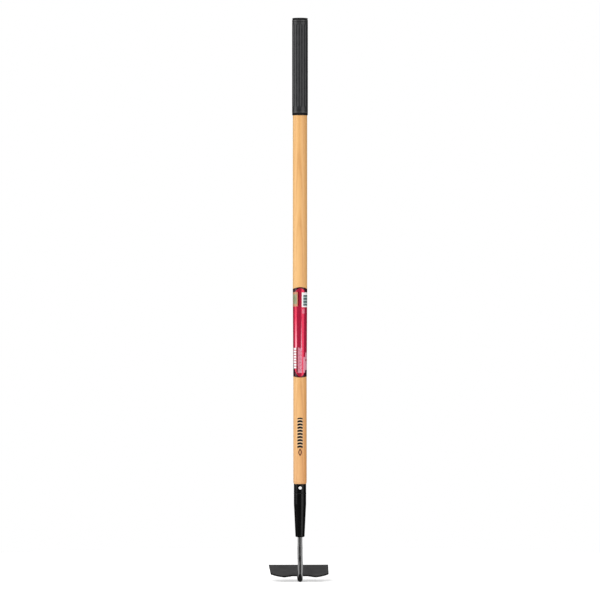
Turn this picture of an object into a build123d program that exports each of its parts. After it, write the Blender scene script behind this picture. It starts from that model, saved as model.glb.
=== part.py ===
from build123d import *
import os
from math import cos, radians, sin

# Draw hoe, in millimetres. The handle's axis is Z, its grip is up, and z = 0 is the lowest point of
# the gooseneck, where the hoe meets the ground. The blade reaches away from the handle towards +Y
# and its width runs along X.

# Pole
POLE_RADIUS = 19.05
POLE_LOWER_RADIUS = 17.7
POLE_TOP_Z = 1490.5
POLE_TAPER_TOP_Z = 781.0
POLE_TAPER_END_Z = 542.0
POLE_SHOULDER_Z = 266.0
POLE_TOP_CHAMFER = 2.0
POLE_SHOULDER_FILLET = 15.0
POLE_SHOULDER_LIP = 0.1

# Grip
GRIP_RADIUS = 20.9
GRIP_BOTTOM_Z = 1236.0
GRIP_TOP_Z = 1494.0
GRIP_CORNER = 3.0
GRIP_CHAMFER = 0.7
GRIP_LINE_Z = 1483.5
GRIP_LIP_LINE_Z = 1243.5
GRIP_LINE_RADIUS = 0.6
FLUTE_COUNT = 12
FLUTE_PHASE_DEG = -83.0
FLUTE_RADIUS = 3.0
FLUTE_DEPTH = 0.8
FLUTE_TOP_Z = 1477.0
FLUTE_BOTTOM_Z = 1258.0

# Printed film sleeve
LABEL_THICKNESS = 0.25
LABEL_BOTTOM_Z = 542.0
LABEL_TOP_Z = 781.0
LABEL_ARCH_RADIUS = 42.0

# Ferrule
FERRULE_RADIUS = 16.3
FERRULE_TIP_RADIUS = 12.3
FERRULE_WALL = 1.5
FERRULE_TOP_Z = 260.0
FERRULE_TAPER_Z = 206.0
FERRULE_TAPER_END_Z = 125.0
FERRULE_BOTTOM_Z = 119.0
FERRULE_FLOOR = 3.0
FERRULE_TIP_FILLET = 3.0
FERRULE_BEAD_Z = 235.0
FERRULE_BEAD_RADIUS = 0.7
FERRULE_RIM_FILLET = 0.6

# Rivet
RIVET_Z = 249.5
RIVET_RADIUS = 2.4
RIVET_HEAD_RADIUS = 4.35
RIVET_HEAD_HEIGHT = 2.2
RIVET_CROWN = FERRULE_RADIUS + 2.4

# Shank
ROD_RADIUS = 7.0
NECK_RADIUS = 6.35
NECK_END_Z = 106.0
TANG_TIP_RADIUS = 2.6
TANG_TIP_Z = 236.0
TANG_FILLET = 1.5
BEND_START_Z = 84.0
BEND_END_Z = 34.0
GOOSENECK_REACH = 20.0
HOOK_RADIUS = 20.0
SHANK_FOOT = 56.0
SHANK_FOOT_CHAMFER = 2.0

# Blade, drawn in its own plane: x across it, y along its depth from the foot's start to the cutting edge
BLADE_HALF_WIDTH = 79.4
BLADE_HEEL_HALF_WIDTH = 76.9
BLADE_DEPTH = 108.5
BLADE_SHOULDER_DEPTH = 28.0
BLADE_PEAK_X = 40.0
BLADE_NOTCH_X = 20.5
BLADE_NOTCH_DEPTH = 10.5
BLADE_SHOULDER_SAG = 4.0
BLADE_THICKNESS = 2.6
BLADE_RISE_DEG = 13.65
BEVEL_LENGTH = 9.0
BEVEL_EDGE = 0.6
BLADE_PEAK_FILLET = 8.0
BLADE_HEEL_FILLET = 6.0

# Weld beads
WELD_START = 6.0
WELD_LENGTH = 42.0
WELD_ROOT = 1.5
WELD_LEG = 8.6
WELD_TOE = 5.6
WELD_DROP = 4.6

# How far a cutting solid runs past the face that it cuts
MARGIN = 1.0

CUTTING_EDGE = BLADE_DEPTH - BLADE_NOTCH_DEPTH
HOOK_Z = ROD_RADIUS + HOOK_RADIUS
RISE_COS = cos(radians(BLADE_RISE_DEG))
RISE_SIN = sin(radians(BLADE_RISE_DEG))
# The foot is the shank's straight end, which leaves the hook where the hook is parallel to the blade.
FOOT_START = (0, HOOK_RADIUS * RISE_SIN, HOOK_Z - HOOK_RADIUS * RISE_COS)
FOOT_PLANE = Plane(origin=FOOT_START, x_dir=(1, 0, 0), z_dir=(0, -RISE_SIN, RISE_COS))
FERRULE_SEAT_Z = FERRULE_BOTTOM_Z + FERRULE_FLOOR
ON_BASE = (Align.CENTER, Align.CENTER, Align.MIN)


def turned(points):
    """A solid turned about the handle's axis, from (radius, z) points of its closed half outline."""
    outline = Polyline(*[(r, 0, z) for r, z in points], close=True)
    return revolve(make_face(outline), Axis.Z)


def ring(z, section_radius, ring_radius):
    """A torus that cuts or raises a round line about the handle's axis."""
    return Pos(0, 0, z) * Torus(ring_radius, section_radius)


def upright(radius, bottom, top):
    """A cylinder about the handle's axis between two heights."""
    return Pos(0, 0, bottom) * Cylinder(radius, top - bottom, align=ON_BASE)


def upright_cone(bottom_radius, top_radius, bottom, top):
    """A cone's frustum about the handle's axis between two heights."""
    return Pos(0, 0, bottom) * Cone(bottom_radius, top_radius, top - bottom, align=ON_BASE)


def edges_at(solid, z):
    """The solid's edges that lie level at one height."""
    return solid.edges().filter_by_position(Axis.Z, z - 0.01, z + 0.01)


def pole_radius(z):
    """The pole's radius at a height on its taper under the film sleeve."""
    share = (POLE_TAPER_TOP_Z - z) / (POLE_TAPER_TOP_Z - POLE_TAPER_END_Z)
    return POLE_RADIUS + share * (POLE_LOWER_RADIUS - POLE_RADIUS)


def ferrule_profile(inset, bottom):
    """The ferrule's outline moved inwards by an inset, as (radius, z) points from the axis up."""
    return [
        (0, bottom),
        (FERRULE_TIP_RADIUS - inset, bottom),
        (FERRULE_TIP_RADIUS - inset, FERRULE_TAPER_END_Z),
        (FERRULE_RADIUS - inset, FERRULE_TAPER_Z),
        (FERRULE_RADIUS - inset, FERRULE_TOP_Z),
        (0, FERRULE_TOP_Z),
    ]


def rivet_hole():
    """The cross hole through ferrule and pole."""
    return Pos(0, 0, RIVET_Z) * Rot(90, 0, 0) * Cylinder(RIVET_RADIUS, 4 * FERRULE_RADIUS)


def tang():
    """The tapered upper end of the shank, which sits in the pole."""
    cone = upright_cone(NECK_RADIUS, TANG_TIP_RADIUS, FERRULE_SEAT_Z, TANG_TIP_Z)
    return fillet(edges_at(cone, TANG_TIP_Z), TANG_FILLET)


def make_handle():
    """Turned wooden pole with a shoulder and a narrow lower end that fills the ferrule."""
    in_ferrule = ferrule_profile(FERRULE_WALL, FERRULE_SEAT_Z)[:-1]
    pole = turned(
        in_ferrule
        + [
            (FERRULE_RADIUS + POLE_SHOULDER_LIP, FERRULE_TOP_Z),
            (POLE_LOWER_RADIUS, POLE_SHOULDER_Z),
            (POLE_LOWER_RADIUS, POLE_TAPER_END_Z),
            (POLE_RADIUS, POLE_TAPER_TOP_Z),
            (POLE_RADIUS, POLE_TOP_Z),
            (0, POLE_TOP_Z),
        ]
    )
    pole = fillet(edges_at(pole, POLE_SHOULDER_Z), POLE_SHOULDER_FILLET)
    pole = chamfer(edges_at(pole, POLE_TOP_Z), POLE_TOP_CHAMFER)
    return pole - tang() - rivet_hole()


def make_grip():
    """Closed rubber sleeve with lengthwise flutes, a line under its cap and one above its lip."""
    grip = upright(GRIP_RADIUS, GRIP_BOTTOM_Z, GRIP_TOP_Z)
    grip = fillet(edges_at(grip, GRIP_TOP_Z), GRIP_CORNER)
    grip = chamfer(edges_at(grip, GRIP_BOTTOM_Z), GRIP_CHAMFER)
    grip -= ring(GRIP_LINE_Z, GRIP_LINE_RADIUS, GRIP_RADIUS)
    grip -= ring(GRIP_LIP_LINE_Z, GRIP_LINE_RADIUS, GRIP_RADIUS)
    reach = GRIP_RADIUS - FLUTE_DEPTH + FLUTE_RADIUS
    length = FLUTE_TOP_Z - FLUTE_BOTTOM_Z - 2 * FLUTE_RADIUS
    cutter = Cylinder(FLUTE_RADIUS, length) + Pos(0, 0, length / 2) * Sphere(FLUTE_RADIUS)
    cutter += Pos(0, 0, -length / 2) * Sphere(FLUTE_RADIUS)
    middle = Pos(reach, 0, (FLUTE_TOP_Z + FLUTE_BOTTOM_Z) / 2)
    for i in range(FLUTE_COUNT):
        grip -= Rot(0, 0, FLUTE_PHASE_DEG + i * 360 / FLUTE_COUNT) * middle * cutter
    bore = upright(POLE_RADIUS, GRIP_BOTTOM_Z - MARGIN, POLE_TOP_Z)
    return grip - chamfer(edges_at(bore, POLE_TOP_Z), POLE_TOP_CHAMFER)


def make_label_wrap():
    """Thin film sleeve on the pole's taper, with its upper edge cut to an arch front and back."""
    bottom = pole_radius(LABEL_BOTTOM_Z)
    top = pole_radius(LABEL_TOP_Z)
    sleeve = turned(
        [
            (bottom, LABEL_BOTTOM_Z),
            (bottom + LABEL_THICKNESS, LABEL_BOTTOM_Z),
            (top + LABEL_THICKNESS, LABEL_TOP_Z),
            (top, LABEL_TOP_Z),
        ]
    )
    arch_z = LABEL_TOP_Z - LABEL_ARCH_RADIUS
    arch = Pos(0, 0, arch_z) * Rot(90, 0, 0) * Cylinder(LABEL_ARCH_RADIUS, 4 * POLE_RADIUS)
    below = upright(2 * POLE_RADIUS, LABEL_BOTTOM_Z - MARGIN, arch_z)
    return sleeve & (arch + below)


def make_ferrule():
    """Drawn steel socket, straight above and tapered below, with a closed and drilled end."""
    shell = turned(ferrule_profile(0, FERRULE_BOTTOM_Z))
    shell = fillet(edges_at(shell, FERRULE_BOTTOM_Z), FERRULE_TIP_FILLET)
    shell = fillet(edges_at(shell, FERRULE_TOP_Z), FERRULE_RIM_FILLET)
    shell += ring(FERRULE_BEAD_Z, FERRULE_BEAD_RADIUS, FERRULE_RADIUS)
    shell -= turned(ferrule_profile(FERRULE_WALL, FERRULE_SEAT_Z))
    shell -= upright(NECK_RADIUS, FERRULE_BOTTOM_Z - MARGIN, FERRULE_SEAT_Z + MARGIN)
    return shell - rivet_hole()


def make_rivet():
    """Solid rivet across the ferrule, with a domed head at the front and at the back."""
    dome_radius = (RIVET_HEAD_RADIUS**2 + RIVET_HEAD_HEIGHT**2) / (2 * RIVET_HEAD_HEIGHT)
    dome = Pos(0, 0, RIVET_CROWN - dome_radius) * Sphere(dome_radius)
    head = dome & upright(RIVET_HEAD_RADIUS, FERRULE_RADIUS - RIVET_HEAD_HEIGHT, RIVET_CROWN + MARGIN)
    heads = Pos(0, 0, RIVET_Z) * Rot(90, 0, 0) * (head + Rot(180, 0, 0) * head)
    heads -= upright(FERRULE_RADIUS, RIVET_Z - 2 * RIVET_HEAD_RADIUS, RIVET_Z + 2 * RIVET_HEAD_RADIUS)
    pin = Cylinder(RIVET_RADIUS, 2 * (RIVET_CROWN - RIVET_HEAD_HEIGHT / 2))
    return heads + Pos(0, 0, RIVET_Z) * Rot(90, 0, 0) * pin


def gooseneck_path():
    """The bent part of the shank's centre line, from under the neck to the end of its foot."""
    half = (BEND_START_Z - BEND_END_Z) / 2
    radius = (half**2 + (GOOSENECK_REACH / 2) ** 2) / GOOSENECK_REACH
    middle = (0, -GOOSENECK_REACH / 2, BEND_START_Z - half)
    lean = Vector(0, -half, -(radius - GOOSENECK_REACH / 2)).normalized()
    upper = TangentArc((0, 0, BEND_START_Z), middle, tangent=(0, 0, -1))
    lower = TangentArc(middle, (0, -GOOSENECK_REACH, BEND_END_Z), tangent=lean)
    drop = Line((0, -GOOSENECK_REACH, BEND_END_Z), (0, -GOOSENECK_REACH, HOOK_Z))
    hook = TangentArc((0, -GOOSENECK_REACH, HOOK_Z), FOOT_START, tangent=(0, 0, -1))
    foot_end = Vector(*FOOT_START) + Vector(0, RISE_COS, RISE_SIN) * SHANK_FOOT
    foot = Line(FOOT_START, foot_end)
    return Wire([upper, lower, drop, hook, foot])


def make_shank():
    """Steel rod: tang in the pole, neck in the ferrule's end, gooseneck and foot under the blade."""
    neck = upright(NECK_RADIUS, NECK_END_Z, FERRULE_SEAT_Z)
    swell = upright_cone(ROD_RADIUS, NECK_RADIUS, BEND_START_Z, NECK_END_Z)
    section = Plane(origin=(0, 0, BEND_START_Z), z_dir=(0, 0, -1)) * Circle(ROD_RADIUS)
    bend = sweep(section, path=gooseneck_path())
    bend = chamfer(bend.edges().sort_by(Axis.Y)[-1], SHANK_FOOT_CHAMFER)
    return tang() + neck + swell + bend


def blade_outline():
    """The blade's closed outline: straight sides, round shoulders and a shallow notch for the foot."""
    peak = CUTTING_EDGE - BLADE_DEPTH
    heel = peak + BLADE_SHOULDER_DEPTH
    notch = peak + BLADE_NOTCH_DEPTH
    right = SagittaArc((BLADE_HEEL_HALF_WIDTH, heel), (BLADE_PEAK_X, peak), BLADE_SHOULDER_SAG)
    left = SagittaArc((-BLADE_PEAK_X, peak), (-BLADE_HEEL_HALF_WIDTH, heel), BLADE_SHOULDER_SAG)
    return [
        Line((BLADE_HALF_WIDTH, CUTTING_EDGE), (BLADE_HEEL_HALF_WIDTH, heel)),
        right,
        Line((BLADE_PEAK_X, peak), (BLADE_NOTCH_X, notch)),
        Line((BLADE_NOTCH_X, notch), (-BLADE_NOTCH_X, notch)),
        Line((-BLADE_NOTCH_X, notch), (-BLADE_PEAK_X, peak)),
        left,
        Line((-BLADE_HEEL_HALF_WIDTH, heel), (-BLADE_HALF_WIDTH, CUTTING_EDGE)),
        Line((-BLADE_HALF_WIDTH, CUTTING_EDGE), (BLADE_HALF_WIDTH, CUTTING_EDGE)),
    ]


def corners_at(face, x):
    """The face's corners at this distance from its middle line, on both sides."""
    return [v for v in face.vertices() if abs(abs(v.X) - x) < 0.01]


def make_blade():
    """Flat steel blade on the foot, with rounded shoulders and an edge bevelled from below."""
    face = make_face(blade_outline())
    face = fillet(corners_at(face, BLADE_PEAK_X), BLADE_PEAK_FILLET)
    face = fillet(corners_at(face, BLADE_HEEL_HALF_WIDTH), BLADE_HEEL_FILLET)
    plate = extrude(face, BLADE_THICKNESS)
    ground = Polyline(
        (0, CUTTING_EDGE - BEVEL_LENGTH, 0),
        (0, CUTTING_EDGE, BLADE_THICKNESS - BEVEL_EDGE),
        (0, CUTTING_EDGE + MARGIN, BLADE_THICKNESS - BEVEL_EDGE),
        (0, CUTTING_EDGE + MARGIN, -MARGIN),
        (0, CUTTING_EDGE - BEVEL_LENGTH, -MARGIN),
        close=True,
    )
    plate -= extrude(make_face(ground), BLADE_HALF_WIDTH + MARGIN, both=True)
    return FOOT_PLANE * Pos(0, 0, ROD_RADIUS) * plate


def make_blade_welds():
    """Two fillet beads that fill the corners between the foot and the blade's underside."""
    foot = Rot(90, 0, 0) * Cylinder(ROD_RADIUS, 4 * SHANK_FOOT)
    beads = []
    for side in (-1, 1):
        section = Polyline(
            (side * WELD_ROOT, 0, ROD_RADIUS),
            (side * WELD_LEG, 0, ROD_RADIUS),
            (side * WELD_TOE, 0, ROD_RADIUS - WELD_DROP),
            (side * WELD_ROOT, 0, ROD_RADIUS - WELD_DROP),
            close=True,
        )
        bar = extrude(make_face(section), WELD_LENGTH, dir=(0, 1, 0))
        beads.append(FOOT_PLANE * (Pos(0, WELD_START, 0) * bar - foot))
    return Compound(children=beads)


def main():
    os.makedirs("parts", exist_ok=True)
    nodes = {
        "handle": make_handle(),
        "grip": make_grip(),
        "label_wrap": make_label_wrap(),
        "ferrule": make_ferrule(),
        "rivet": make_rivet(),
        "shank": make_shank(),
        "blade": make_blade(),
        "blade_welds": make_blade_welds(),
    }
    for name, shape in nodes.items():
        export_step(shape, f"parts/{name}.step")


main()
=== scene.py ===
from math import atan2, cos, degrees, exp, pi, radians, sin, sqrt

import bmesh
import bpy
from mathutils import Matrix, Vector, noise


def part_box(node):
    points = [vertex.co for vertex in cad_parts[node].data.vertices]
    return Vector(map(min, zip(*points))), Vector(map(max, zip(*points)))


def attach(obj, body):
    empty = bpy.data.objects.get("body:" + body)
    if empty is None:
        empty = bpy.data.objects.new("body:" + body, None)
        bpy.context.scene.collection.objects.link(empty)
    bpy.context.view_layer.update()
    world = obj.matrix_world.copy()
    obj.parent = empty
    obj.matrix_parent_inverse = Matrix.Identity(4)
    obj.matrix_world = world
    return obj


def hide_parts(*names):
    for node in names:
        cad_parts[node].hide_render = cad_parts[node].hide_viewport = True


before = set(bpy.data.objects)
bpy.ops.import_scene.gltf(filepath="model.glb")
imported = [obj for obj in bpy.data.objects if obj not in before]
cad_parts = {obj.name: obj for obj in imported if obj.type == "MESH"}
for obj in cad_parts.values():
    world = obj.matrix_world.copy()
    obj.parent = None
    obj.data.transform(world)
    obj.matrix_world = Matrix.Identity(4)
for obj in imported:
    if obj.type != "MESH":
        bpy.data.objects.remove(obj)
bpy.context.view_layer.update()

MM = 0.001


# -------- sizes, in metres unless they say otherwise

POLE_LOW, POLE_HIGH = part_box("handle")
GRIP_LOW, GRIP_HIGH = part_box("grip")
LABEL_LOW, LABEL_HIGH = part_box("label_wrap")
FERRULE_LOW, FERRULE_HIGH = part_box("ferrule")
BLADE_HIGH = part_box("blade")[1]

# Pole
POLE_RADIUS = POLE_HIGH.x
POLE_LOWER_RADIUS = 17.7 * MM
POLE_SHOULDER = 6.0 * MM
POLE_CHAMFER = 2.0 * MM
FIT_GAP = 0.02 * MM  # between the pole and a sleeve on it

# Growth rings: their pitch and waviness, their centre at z = 0, and its drift for each metre up
RING_PITCH = 3.1 * MM
RING_WOBBLE = 7 * MM
PITH_X, PITH_Y = 4 * MM, 85 * MM
PITH_DRIFT_X, PITH_DRIFT_Y = 0.006, -0.016
WOOD_WARM_SPAN = (0.25, 0.60)
# Painted shade on the pole's right side, across x
RIGHT_SHADE_SPAN = (-8 * MM, 14 * MM)

# The printed mark on the pole, in millimetres round the pole and up it
MARK_CENTRE = -0.65
MARK_LOW = 356.8
MARK_HIGH = 436.0
MARK_PITCH = 8.35
MARK_HALF = 7.7
MARK_LEAN = 0.22
MARK_LEAF_Z = 344.0
MARK_LEAF_HALF_HEIGHT = 10.5
MARK_LEAF_HALF_WIDTH = 5.4

# Grip, with its lines and flutes placed from its two ends
GRIP_RADIUS = 20.9 * MM
GRIP_CORNER = 2.6 * MM
GRIP_FLAT = 12 * MM
LIP_INSET = 1.5 * MM
LIP_RISE = 4.5 * MM
LIP_TOP = GRIP_LOW.z + 5.4 * MM
LIP_LINE = GRIP_LOW.z + 6.2 * MM
COLLAR_LOW = GRIP_LOW.z + 8 * MM
# A painted highlight round the collar, in millimetres up
COLLAR_HIGHLIGHT_SPAN = (GRIP_LOW.z / MM + 7.6, GRIP_LOW.z / MM + 9.4)
LINE_HALF = 0.7 * MM
LINE_DEPTH = 0.6 * MM
BAND_LINE = GRIP_HIGH.z - 10.5 * MM
BAND_LOW = BAND_LINE - 2.5 * MM
# Painted shade in the lower line under the cap, in millimetres up
BAND_SHADE_SPAN = (BAND_LINE / MM - 0.8, BAND_LINE / MM + 0.8)
CAP_LINE = GRIP_HIGH.z - 4.1 * MM
CAP_LOW = CAP_LINE - 2.9 * MM
CAP_LINE_HALF = 1.45 * MM
CAP_LINE_DEPTH = 1.2 * MM
# Painted shade over the deep line under the cap
CAP_SHADE_SPAN = (CAP_LINE - 1.5 * MM, CAP_LINE + 2.0 * MM)

# Its flutes, with angles in degrees from the front
FLUTE_LOW = GRIP_LOW.z + 22 * MM
FLUTE_HIGH = GRIP_HIGH.z - 17 * MM
FLUTE_PHASE = 7.0
FLUTE_STEP = 30.0
FLUTE_SHARE = 0.62
FLUTE_CURVE = 1.3
FLUTE_DEPTH = 0.8 * MM
FLUTE_RUN_OUT = 4 * MM
FLUTE_FINE_ROWS = 6 * MM

# Film sleeve
FILM_THICKNESS = 0.25 * MM
SEAM_FROM = radians(160)
SEAM_STEP = 0.2 * MM
LABEL_ARCH = 42 * MM
LABEL_EASE_TOP = 12 * MM
LABEL_EASE_FOOT = 8 * MM
LABEL_FOOT_SHARE = 0.6

# The sleeve's print, in millimetres round the pole and up it
BORDER_SWEEP = 38.0
BORDER_FOOT = 50.0
BORDER_TOP = 778.0
BORDER_BOTTOM = 543.8
# Painted highlights as two pale streaks on the crimson, and painted shade above the left one
HIGHLIGHT_LEFT = (-14.5, -10.5)
HIGHLIGHT_RIGHT = (1.9, 4.3)
HIGHLIGHT_START = (614, 618)
HIGHLIGHT_FADE = (618, 700)
SHADE_RISE = (690, 725)
BADGE_CENTRE = (-16.5, 749.0)
BADGE_LEAF_RADIUS = 22.0
BADGE_LEAF_HALF_WIDTH = 4.0

# Ferrule
FERRULE_WALL = 1.5 * MM
FERRULE_RADIUS = 16.3 * MM
FERRULE_TIP_RADIUS = 12.3 * MM
FERRULE_TAPER_TOP = 206 * MM
FERRULE_TAPER_END = 125 * MM
FERRULE_TAPER_BOW = 0.02
FERRULE_SEAT = 122 * MM
FERRULE_NECK_GAP = 0.03 * MM
TIP_FILLET = 3.0 * MM
RIM_FILLET = 0.6 * MM
BEAD_Z = 235 * MM
BEAD_RADIUS = 0.7 * MM
BEAD_STRETCH = 1.1
BEAD_REACH = 1.4 * MM
BEAD_CREASE = 0.25 * MM
# A painted highlight along the bead, in millimetres up
BEAD_HIGHLIGHT_SPAN = (BEAD_Z / MM - 0.8, BEAD_Z / MM + 0.4)
DIMPLE_DEPTH = 0.22 * MM
DIMPLE_WIDTH = 1.3 * MM

# Rivet, with the depths of its head measured from its crown
RIVET_Z = 249.5 * MM
RIVET_HEAD = 4.35 * MM
RIVET_PIN = 2.4 * MM
RIVET_CROWN = FERRULE_RADIUS + 2.4 * MM
RIVET_SEAT = 3.35 * MM
RIVET_FLANK = 2.3 * MM
RIVET_DOME = 1.95 * MM
RIVET_BREAK = 0.12 * MM
RIVET_RING_RADIUS = 2.5 * MM
RIVET_RING_WIDTH = 0.35 * MM
RIVET_RING_DEPTH = 0.07 * MM

# Shank
NECK_RADIUS = 6.35 * MM
ROD_RADIUS = 7.0 * MM
NECK_END = 106 * MM
BEND_START = 84 * MM
BEND_END = 34 * MM
REACH = 20 * MM
HOOK_RADIUS = 20 * MM
FOOT_LENGTH = 56 * MM
FOOT_CHAMFER = 2 * MM
TANG_RADIUS = 2.6 * MM
TANG_CHAMFER = 0.8 * MM
TANG_TIP = 236 * MM
ROD_COLUMNS = 56

# Lengths down the rod from its seat in the ferrule, in millimetres
NECK_PALE_ROUGH = (16.0, 30.0)
ROD_HEAT = (148.0, 162.0)

# Blade and its foot, whose frame starts where the hook ends
BLADE_RISE = radians(13.65)
BLADE_THICKNESS = 2.6 * MM
CUTTING_EDGE = 98 * MM
BEVEL_LENGTH = 9 * MM
BEVEL_FROM = CUTTING_EDGE - BEVEL_LENGTH
BEVEL_EDGE = 0.6 * MM
EDGE_ROUND = 0.22 * MM
HEEL = 17.5 * MM
PLATE_ROWS = 34
BEVEL_ROWS = 6
FOOT_ALONG = Vector((0, cos(BLADE_RISE), sin(BLADE_RISE)))
FOOT_UP = Vector((0, -sin(BLADE_RISE), cos(BLADE_RISE)))
FOOT_START = Vector((0, 0, ROD_RADIUS + HOOK_RADIUS)) - HOOK_RADIUS * FOOT_UP

# Painted shade: darker bands of paint inside the blade's edges, in millimetres
SHADE_BAND_SIDE = (0.7, 1.7)
SHADE_BAND_HEEL = (3.6, 6.4)
SHADE_BAND_STRENGTH = 0.96

# Weld beads, whose section is placed across the foot and up from its centre line
WELD_START = 6 * MM
WELD_LENGTH = 42 * MM
WELD_TOE_PLATE = Vector((8.6 * MM, 7.0 * MM))
WELD_TOE_ROD = Vector((6.18 * MM, 3.29 * MM))
WELD_ROOT = Vector((1.5 * MM, 6.98 * MM))
WELD_BACK = Vector((3.0 * MM, 5.6 * MM))
WELD_RIPPLE = 1.7 * MM
WELD_ROWS = 140
WELD_END_ROWS = 7
WELD_COLUMNS = 12

# Stage, lights and camera
FLOOR_RADIUS = 1.6
WORLD_FILL = 0.55
WORLD_GLOSS = 0.03
CARD_DISTANCE = 1.0
CARD_BACK = 2.9
CARD_RADIANCE = 0.60
CAMERA_AZIMUTH = -2.4
CAMERA_DISTANCE = 12.0
CAMERA_HEIGHT = 0.747
FRAME_WIDTH = 1.590

# Cards beside the rod: a name, a side, the reach in front of the hoe, the top and the foot
ROD_CARDS = (("card_left", -1, 1.0, 1.1, -0.4), ("card_right", 1, 1.9, 1.9, -0.7))


# -------- colours

WOOD_PALE = (0.82, 0.50, 0.205)
WOOD_MID = (0.765, 0.425, 0.152)
WOOD_DARK = (0.58, 0.275, 0.085)
WOOD_WARM = (0.94, 0.895, 1.00)
# Painted shade for the pole's right side
WOOD_RIGHT_SHADE = (0.91, 0.77, 0.58)
WOOD_PORE = (0.36, 0.15, 0.05)
MARK_GROUND = (0.90, 0.66, 0.42)
INK_BLACK = (0.004, 0.003, 0.003)
INK_RED = (0.13, 0.030, 0.012)
RUBBER_DARK = (0.018, 0.0185, 0.020)
RUBBER_PALE = (0.030, 0.031, 0.033)
# Pale rubber for the worn ridges and for the painted highlight round the collar
RUBBER_WEAR_AND_HIGHLIGHT = (0.075,) * 3
# Painted shade in the grip's lines
RUBBER_SHADE_BLACK = (0.003,) * 3
FILM_CRIMSON = (0.84, 0.024, 0.090)
# Deep crimson ink, also used for painted shade on the sleeve
FILM_DEEP = (0.30, 0.008, 0.018)
FILM_MAROON = (0.045, 0.003, 0.010)
FILM_WHITE = (0.86,) * 3
FILM_TEAL = (0.34, 0.46, 0.45)
FILM_SLATE = (0.05, 0.085, 0.085)
FILM_PINK = (0.74, 0.31, 0.40)
# Painted highlight on the sleeve
FILM_HIGHLIGHT_PINK = (0.98, 0.44, 0.54)
FILM_TAN = (0.52, 0.24, 0.13)
FILM_OLIVE = (0.30, 0.30, 0.17)
FILM_LEAF = (0.20, 0.23, 0.11)
ENAMEL_BLACK = (0.003,) * 3
# Painted highlight along the ferrule's bead
ENAMEL_HIGHLIGHT = (0.022,) * 3
ZINC_PALE = (0.97,) * 3
ZINC_DARK = (0.80,) * 3
ROD_PALE = (0.46,) * 3
ROD_DARK = (0.36,) * 3
STEEL_BARE = (0.55,) * 3
STEEL_PIT = (0.10,) * 3
HEAT_BROWN = (0.16, 0.12, 0.09)
HEAT_GREY = (0.22, 0.21, 0.20)
HEAT_BLUE = (0.10, 0.12, 0.17)
BLADE_DARK = (0.049, 0.049, 0.050)
BLADE_PALE = (0.084, 0.084, 0.085)
# Near-black painted shade for the blade's rims and the bands inside its edges
EDGE_SHADE_BLACK = (0.004,) * 3
RIM_STEEL = (0.10,) * 3
STEEL_GROUND_DARK = (0.32, 0.32, 0.33)
STEEL_GROUND_PALE = (0.55, 0.55, 0.56)
FLOOR_WHITE = (0.86,) * 3

# The sleeve's inks, as a colour, how metallic it is, and the ink of its border
INKS = {
    "crimson": (FILM_CRIMSON, 0.6, FILM_MAROON),
    "deep": (FILM_DEEP, 0.5),
    "white": (FILM_WHITE,),
    "teal": (FILM_TEAL,),
    "slate": (FILM_SLATE,),
    "pink": (FILM_PINK,),
    "tan": (FILM_TAN,),
}

# -------- node helpers


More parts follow.
